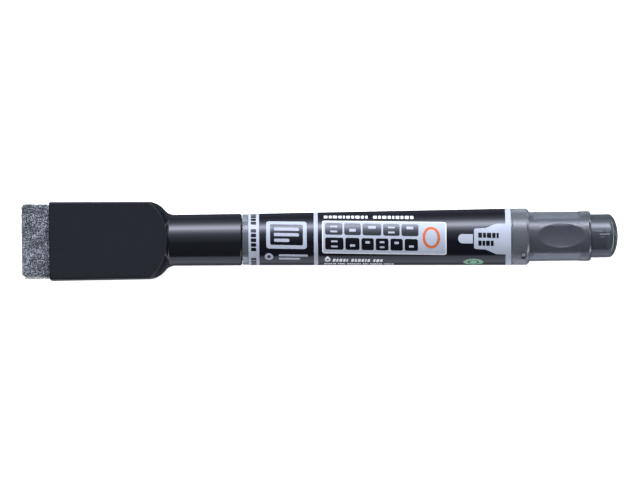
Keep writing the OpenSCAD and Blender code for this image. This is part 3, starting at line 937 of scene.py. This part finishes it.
def build_plug():
    x_body = X_SLEEVE_END - 2.4
    seat_r = PLUG_R - 0.2
    turns = [math.pi / 2 * k / 22 for k in range(22)]
    profile = rounded([
        (X_SPIGOT, 3.1, 0.1), (X_SPIGOT, 4.15, 0.3), (x_body - 2.6, 4.15), (x_body - 2.6, 3.75),
        (x_body - 1.8, 3.75), (x_body - 1.8, 4.15), (x_body, 4.15), (x_body, seat_r, 0.05),
        (X_SLEEVE_END, seat_r), (X_SLEEVE_END, PLUG_R, 0.05), (X_DOME - 0.05, PLUG_R),
    ])
    profile += [(X_DOME + DOME * math.sin(t), PLUG_R * math.cos(t)) for t in turns]
    profile.append((X_TAIL, 0.0))
    inner = rounded([(X_SPIGOT, 3.1), (X_TAIL - 2.4, 3.1, 0.6), (X_TAIL - 2.4, 0.0)])
    plug = lathe("tail_plug_moulding", inner[::-1] + profile, "cartridge", "plug_plastic",
                 [M["plug"]])
    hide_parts("tail_plug")


def build_mould_lines():
    """Fine ridges along the top of the plug, each a long three-sided bar."""
    verts, faces = [], []
    for offset, first, last in MOULD_LINES:
        turn = math.asin(offset / PLUG_R)
        base = len(verts)
        for x in (X_SLEEVE_END + first, X_SLEEVE_END + last):
            for side, rise in ((-LINE_W / 2, LINE_ROOT), (0.0, LINE_RISE), (LINE_W / 2, LINE_ROOT)):
                a, r = turn + side / PLUG_R, PLUG_R + rise
                if x > X_DOME:
                    r *= math.sqrt(1 - ((x - X_DOME) / DOME) ** 2)
                verts.append((x, r * math.sin(a), r * math.cos(a)))
        faces += [[base + k for k in face] for face in
                  ((0, 1, 4, 3), (1, 2, 5, 4), (0, 3, 5, 2), (0, 2, 1), (3, 4, 5))]
    add_mesh("tail_plug_lines", verts, faces, "cartridge", "plug_plastic", [M["plug"]], sharp=10)


def build_gate_mark():
    """Small round stub that the moulding leaves on the dome."""
    along = (GATE_X - X_DOME) / DOME
    top = Vector((GATE_X, GATE_Y, math.sqrt(PLUG_R ** 2 * (1 - along ** 2) - GATE_Y ** 2)))
    normal = Vector((along / DOME, top.y / PLUG_R ** 2, top.z / PLUG_R ** 2)).normalized()
    across = normal.cross(Vector((1, 0, 0))).normalized()
    beside = across.cross(normal)
    loops = []
    for r, rise in GATE_RINGS:
        centre = top + normal * rise
        loops.append([(centre + across * r * math.cos(a) + beside * r * math.sin(a))[:]
                      for a in (even_angles(24) if r else [0.0])])
    # The stub is drawn in the lighter clear plastic, so it shows as a light dot on the dark dome
    skin("tail_plug_gate_mark", loops, "cartridge", "plug_plastic", [M["clear"]])


def build_tube():
    tank = X_TUBE + 4.0
    tube = lathe("cartridge_tube_moulding", rounded([
        (X_TUBE, 2.4, 0.1), (X_TUBE, 3.2, 0.2), (tank - 0.9, 3.2, 0.2), (tank - 0.9, 4.75, 0.35),
        (X_TUBE_END, 4.75, 0.1), (X_TUBE_END, 4.25, 0.1), (tank, 4.25, 0.3), (tank, 2.4),
    ], closed=True), "cartridge", "clear_plastic", [M["tank"]], closed=True)
    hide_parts("cartridge_tube")


# ---------------- print on the label

PRINT_LIFT = 0.012
PRINT_SINK = 0.006
# Long print is cut every so far along the label and round it, so that it follows the curve
PRINT_CUTS = ((Vector((1, 0, 0)), 3.0), (Vector((0, 1, 0)), 0.35))
SKEW_START = 0.36
SKEW_SLOPE = 0.0295


def skew(x):
    """The print runs slightly askew round the barrel."""
    return SKEW_START - SKEW_SLOPE * (x - 0.5)


def round_corners(outline, fillet, steps=5):
    return rounded([(*p, fillet) for p in outline], closed=True, steps=steps)


def box_outline(x0, x1, s0, s1, fillet):
    return round_corners([(x0, s0), (x1, s0), (x1, s1), (x0, s1)], fillet)


def oval_outline(x, s, rx, rs, count=36):
    return [(x + rx * math.cos(a), s + rs * math.sin(a)) for a in even_angles(count)]


def wrap(x, s, lift):
    """Point at arc length s round the label from its top line, positive towards +y."""
    r = film_radius(x) + lift
    turn = (s + skew(x)) / film_radius(x)
    return (x, r * math.sin(turn), r * math.cos(turn))


def build_print(name, shapes, material, layer=1):
    """Thin ink shapes wrapped round the label. A shape is an outline and a list of holes."""
    verts, faces = [], []
    for outline, holes in shapes:
        flat = bmesh.new()
        for line in [outline, *holes]:
            corners = [flat.verts.new((x, s, -PRINT_SINK)) for x, s in line]
            for a, b in zip(corners, corners[1:] + corners[:1]):
                flat.edges.new((a, b))
        bmesh.ops.triangle_fill(flat, use_beauty=True, use_dissolve=True, edges=flat.edges[:])
        raised = bmesh.ops.extrude_face_region(flat, geom=flat.faces[:])
        for item in raised["geom"]:
            if isinstance(item, bmesh.types.BMVert):
                item.co.z = PRINT_LIFT * layer
        for direction, cell in PRINT_CUTS:
            places = [v.co.dot(direction) for v in flat.verts]
            for k in range(1, int((max(places) - min(places)) / cell) + 1):
                everything = flat.verts[:] + flat.edges[:] + flat.faces[:]
                bmesh.ops.bisect_plane(flat, geom=everything, dist=1e-5, plane_no=direction,
                                       plane_co=direction * (min(places) + k * cell))
        flat.verts.index_update()
        base = len(verts)
        verts.extend(wrap(v.co.x, v.co.y, v.co.z) for v in flat.verts)
        faces.extend([base + v.index for v in f.verts] for f in flat.faces)
        flat.free()
    return add_mesh(name, verts, faces, "barrel", "label", [material], sharp=40)


BLOCK_WIDTHS = (1.0, 0.8, 1.15, 0.9, 0.6)


def row(x0, s0, s1, words, size, gap, slant=0.0, space=1.0, fillet=0.12):
    """Row of small blocks in groups. words gives the number of blocks in each group."""
    shapes, x, count = [], x0, 0
    for word in words:
        for _ in range(word):
            width = size * BLOCK_WIDTHS[count % len(BLOCK_WIDTHS)]
            outline = [(x, s0), (x + width, s0), (x + width + slant, s1), (x + slant, s1)]
            shapes.append((round_corners(outline, fillet, 2), []))
            x += width + gap
            count += 1
        x += space
    return shapes


def tiles(x0, s0, s1, widths, gap, slot_share):
    """Row of large tiles, each with a slot or two across it."""
    shapes, x = [], x0
    for k, width in enumerate(widths):
        tall = s1 - s0
        inset = width * slot_share[0]
        low = s0 + tall * (0.28 if k % 2 else 0.56)
        slots = [box_outline(x + inset, x + width - inset, low, low + tall * slot_share[1], 0.12)]
        if k % 3 == 0:
            low = s0 + tall * 0.2
            slots = [box_outline(x + inset, x + width - inset, up, up + tall * 0.15, 0.1)
                     for up in (low, low + tall * 0.42)]
        shapes.append((box_outline(x, x + width, s0, s1, 0.45), slots))
        x += width + gap
    return shapes


PANEL = (0.5, 29.65, -4.12, 4.12)


def inset_box(box, inset, fillet):
    x0, x1, s0, s1 = box
    return box_outline(x0 + inset, x1 - inset, s0 + inset, s1 - inset, fillet)


def oval_ring(x, s, outer, inner):
    """Oval with a smaller oval hole. outer and inner are the half sizes (along, across)."""
    return oval_outline(x, s, *outer), [oval_outline(x, s, *inner)]


def panel_print():
    """White panel with two rows of tiles and an orange ring."""
    build_print("print_panel_silver", [(inset_box(PANEL, 0.22, 0.35), [])], M["silver"])
    border = [(box_outline(*PANEL, 0.55), [inset_box(PANEL, 0.24, 0.33)])]
    build_print("print_panel_border", border, M["white"], 1.3)
    upper = tiles(1.2, 0.45, 3.4, (4.1, 3.9, 4.4, 3.9, 4.0), 0.4, (0.3, 0.24))
    # The upper tiles carry the grey print's painted highlight
    build_print("print_tiles_grey", upper, M["graded"], 2)
    lower = tiles(1.2, -3.1, -0.2, (4.3, 3.3, 2.9, 3.0, 2.9, 3.1), 0.45, (0.32, 0.2))
    build_print("print_tiles_black", lower, M["black_print"], 2)
    build_print("print_ring_orange", [oval_ring(26.1, 0.22, (2.05, 2.6), (1.45, 1.95))],
                M["orange"], 2)


def sign_print():
    """Board sign with three lines, and a small ring with two bars, on the front of the label."""
    board = [(box_outline(-12.6, -3.1, -3.1, 3.75, 0.7),
              [box_outline(-11.7, -4.0, -2.2, 2.85, 0.35)])]
    for s, length in ((1.25, 5.9), (-0.1, 5.9), (-1.45, 3.6)):
        board.append((box_outline(-10.8, -10.8 + length, s, s + 0.75, 0.3), []))
    build_print("print_board_sign", board, M["silver"])
    small = [oval_ring(-12.0, -5.4, (1.0, 1.05), (0.45, 0.5))]
    for end, s in ((-2.9, -5.2), (-4.7, -6.25)):
        small.append((box_outline(-9.7, end, s, s + 0.6, 0.2), []))
    build_print("print_small_sign", small, M["silver"])


def small_print():
    """Rows of small blocks over and under the panel, with a drop before the second row."""
    lines = row(0.95, 4.95, 6.0, (10, 9), 0.85, 0.30)
    drop = [(1.75, -4.75), (2.45, -5.9), (2.35, -6.7), (1.75, -7.05), (1.15, -6.7), (1.05, -5.9)]
    lines.append((round_corners(drop, 0.3, 4), [oval_outline(1.75, -6.2, 0.3, 0.36, 12)]))
    lines += row(2.9, -6.95, -5.8, (5, 6, 3), 0.58, 0.24, 0.18, 0.55, 0.08)
    lines += row(0.9, -8.6, -7.85, (6, 4, 7, 3, 6, 5), 0.36, 0.16, 0.05, 0.3, 0.05)
    build_print("print_small_words", lines, M["white"])


def nib_print():
    """Nib sign, which is a bullet and a holder that flares into the rear band, and its blocks."""
    bullet = rounded([(32.4, -1.0, 1.0), (35.85, -1.0, 0.15), (35.85, 1.2, 0.15),
                      (32.4, 1.2, 1.0)], closed=True, steps=6)
    holder = [(36.1, -2.3), (38.9, -2.45), (41.3, -3.7), (43.7, -3.75), (43.7, 3.95), (41.3, 3.9),
              (38.9, 2.75), (36.1, 2.55)]
    build_print("print_nib_sign", [(bullet, []), (round_corners(holder, 0.45, 4), [])],
                M["silver"])
    dark = row(37.1, 0.4, 1.6, (5,), 0.9, 0.2) + row(37.1, -1.5, -0.25, (4,), 0.78, 0.2)
    build_print("print_dark_words", dark, M["black_print"], 2)
    build_print("print_band_words", band_words(), M["black_print"])
    eye = [oval_ring(35.95, -6.75, (2.35, 1.5), (1.35, 1.0)),
           (oval_outline(35.95, -6.75, 0.95, 0.85), [])]
    build_print("print_oval_green", eye, M["green"])


def band_words():
    """Dark blocks that run round the front band, in three repeats of two groups."""
    shapes = []
    low, high = X_LABEL + 0.6, X_LABEL + 1.85
    turn = math.tau * film_radius(X_LABEL)
    for repeat in range(3):
        for start, count in ((2.7, 4), (-3.85, 5)):
            for k in range(count):
                s = start + 1.12 * k + repeat * turn / 3
                shapes.append((box_outline(low, high, s, s + 0.86, 0.15), []))
    return shapes


def back_print():
    """Rows of small blocks on the side of the label that faces down."""
    half_turn = math.pi * film_radius(14.0)
    shapes = []
    for k, words in enumerate(((9, 7, 6), (5, 8, 4, 6), (7, 3, 9), (6, 6, 5, 4), (8, 5))):
        s = half_turn + 2.6 - 1.3 * k
        shapes += row(2.0, s, s + 0.6, words, 0.6, 0.22, 0.0, 0.6, 0.08)
    build_print("print_back_words", shapes, M["white"])


# ---------------- hidden pieces

def dress_cad_nodes():
    """The hidden pieces keep their CAD shape and get their materials."""
    looks = {"ink_collector": "feed", "feed_wick": "nib", "connector_tube": "feed",
             "connector_seal": "rubber", "mouth_bush": "rubber", "plug_seal": "rubber",
             "ink_charge": "ink", "seal_ball": "steel"}
    for node, look in looks.items():
        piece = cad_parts[node]
        piece.data.materials.clear()
        piece.data.materials.append(M[look])


# ---------------- camera, light and floor

FLOOR_SIZE = 4.0
FLOOR_DROP = 0.00002
FLOOR_GLOW = 0.75


def build_stage():
    """White floor that glows a little, so that it stays white where the marker shades it."""
    size = FLOOR_SIZE
    mesh = bpy.data.meshes.new("floor")
    mesh.from_pydata([(-size, -size, 0), (size, -size, 0), (size, size, 0), (-size, size, 0)],
                     [], [(0, 1, 2, 3)])
    mesh.materials.append(new_material("floor_white", Base_Color=(0.85, 0.85, 0.85), Roughness=0.9,
                                       Specular_IOR_Level=0.0, Emission_Color=(1.0, 1.0, 1.0),
                                       Emission_Strength=FLOOR_GLOW))
    floor = bpy.data.objects.new("floor", mesh)
    floor.location.z = -FLOOR_DROP
    floor.visible_glossy = False
    bpy.context.scene.collection.objects.link(floor)


STRIP_LEAN = math.radians(48)
STRIP_AWAY = 0.9
STRIP_SIZE = (1.8, 0.32)
STRIP_WATTS = 18

# What glossy surfaces see round the marker: (degrees from straight up towards +y, brightness).
# A white card stands on the -y side, below the marker's height, a long soft lamp on the +y side.
SURROUNDINGS = (
    (-180, 0.1), (-150, 0.15), (-136, 0.3), (-125, 0.8), (-116, 1.04), (-87, 1.07), (-82, 0.27),
    (-78, 0.08), (-16, 0.08), (-8, 0.2), (0, 0.35), (10, 0.55), (19, 0.85), (24, 1.1),
    (28.5, 1.65), (33, 2.65), (38, 4.0), (43, 5.5), (47, 8.3), (52, 10.3), (57, 9.9), (63, 7.1),
    (68, 5.0), (73, 2.8), (79, 1.6), (85, 0.9), (91, 0.65), (105, 0.2), (134, 0.2), (150, 0.1),
)
LAMP_PEAK = max(bright for _, bright in SURROUNDINGS)
SKY_TINT = (0.93, 0.98, 1.2)
PALE_SKY = 0.8
# Both ends of the marker see a dimmer room. A direction's x is its share along the marker.
END_REACH = (0.45, 0.85)
END_SHARE = 0.25
# A bright strip of table beyond the tail, which its dome mirrors: its brightness, the x over which
# it fades in, and its stops from straight down (0) to level (1)
TABLE_GLINT = 3.6
TABLE_REACH = (0.5, 0.8)
TABLE_BAND = ((0.57, 0.0), (0.64, 1.0), (0.78, 1.0), (0.86, 0.0))


def build_lamp():
    """Long soft lamp above the +y side. It lights the marker and casts no reflection itself."""
    data = bpy.data.lights.new("strip_softbox", "AREA")
    data.shape = "RECTANGLE"
    data.size, data.size_y = STRIP_SIZE
    data.energy = STRIP_WATTS
    data.color = (0.93, 0.96, 1.0)
    strip = bpy.data.objects.new("strip_softbox", data)
    place = Vector((0, math.sin(STRIP_LEAN), math.cos(STRIP_LEAN))) * STRIP_AWAY
    strip.location = place
    strip.rotation_euler = place.to_track_quat("Z", "Y").to_euler()
    strip.visible_camera = False
    strip.visible_glossy = False
    strip.visible_transmission = False
    bpy.context.scene.collection.objects.link(strip)


def scaled(tree, colour, factor):
    return add_node(tree, "VectorMath", {0: colour, "Scale": factor},
                    operation="SCALE").outputs["Vector"]


def build_world():
    """Glossy surfaces mirror the lamp and the room. All other rays see an even pale sky."""
    world = bpy.data.worlds.new("studio")
    world.use_nodes = True
    bpy.context.scene.world = world
    tree = world.node_tree
    place = add_node(tree, "TexCoord", {}).outputs["Generated"]
    x, y, z = add_node(tree, "SeparateXYZ", {"Vector": place}).outputs
    turn = add_node(tree, "Math", {0: y, 1: z}, operation="ARCTAN2").outputs["Value"]
    seen = ramp(tree, map_range(tree, turn, -math.pi, math.pi), [
        ((degrees + 180) / 360, tuple(bright / LAMP_PEAK * tint for tint in SKY_TINT))
        for degrees, bright in SURROUNDINGS])
    along = add_node(tree, "Math", {0: x}, operation="ABSOLUTE").outputs["Value"]
    dimmed = scaled(tree, seen, map_range(tree, along, *END_REACH, 1.0, END_SHARE))
    band = ramp(tree, map_range(tree, z, -1.0, 0.0), TABLE_BAND)
    beyond = map_range(tree, x, *TABLE_REACH, 0.0, TABLE_GLINT / LAMP_PEAK)
    summed = add_node(tree, "VectorMath", {0: dimmed, 1: scaled(tree, band, beyond)})
    mirrored = add_node(tree, "Background", {"Color": summed.outputs["Vector"],
                                             "Strength": LAMP_PEAK})
    sky = tree.nodes["Background"]
    sky.inputs["Color"].default_value = (PALE_SKY, PALE_SKY, PALE_SKY * 1.03, 1)
    ray = add_node(tree, "LightPath", {}).outputs
    bounced = add_node(tree, "Math", {0: ray["Is Glossy Ray"], 1: ray["Is Transmission Ray"]},
                       operation="SUBTRACT", use_clamp=True)
    either = add_node(tree, "MixShader", {"Fac": bounced.outputs["Value"],
                                          1: sky.outputs["Background"],
                                          2: mirrored.outputs["Background"]})
    tree.links.new(either.outputs["Shader"], tree.nodes["World Output"].inputs["Surface"])


CAMERA_AWAY = 2.5
CAMERA_TILT = math.radians(1.5)
CAMERA_ROLL = math.radians(0.60)
FRAME_WIDTH = 0.1504
AIM = (0.0, -0.0003)


def build_camera():
    """Looks straight down, leaning a little towards -y, with the tail end raised in the frame."""
    data = bpy.data.cameras.new("camera")
    data.sensor_width = 36
    data.lens = data.sensor_width * CAMERA_AWAY / FRAME_WIDTH
    camera = bpy.data.objects.new("camera", data)
    back = Vector((0, -math.sin(CAMERA_TILT), math.cos(CAMERA_TILT)))
    camera.location = Vector((*AIM, AXIS_Z * MM)) + back * CAMERA_AWAY
    lean = Matrix.Rotation(CAMERA_TILT, 4, "X")
    roll = Matrix.Rotation(-CAMERA_ROLL, 4, "Z")
    camera.rotation_euler = (lean @ roll).to_euler()
    bpy.context.scene.collection.objects.link(camera)
    bpy.context.scene.camera = camera


build_cap()
build_felt()
build_fibres("felt_fibres_light", 1500, 3, M["felt_light"])
build_fibres("felt_fibres_dark", 900, 5, M["felt"])
build_barrel()
build_label()
build_section()
build_tube()
build_sleeve()
build_plug()
build_mould_lines()
build_gate_mark()
panel_print()
sign_print()
small_print()
nib_print()
back_print()
dress_cad_nodes()
build_stage()
build_lamp()
build_world()
build_camera()
bpy.context.scene.view_settings.view_transform = "Standard"
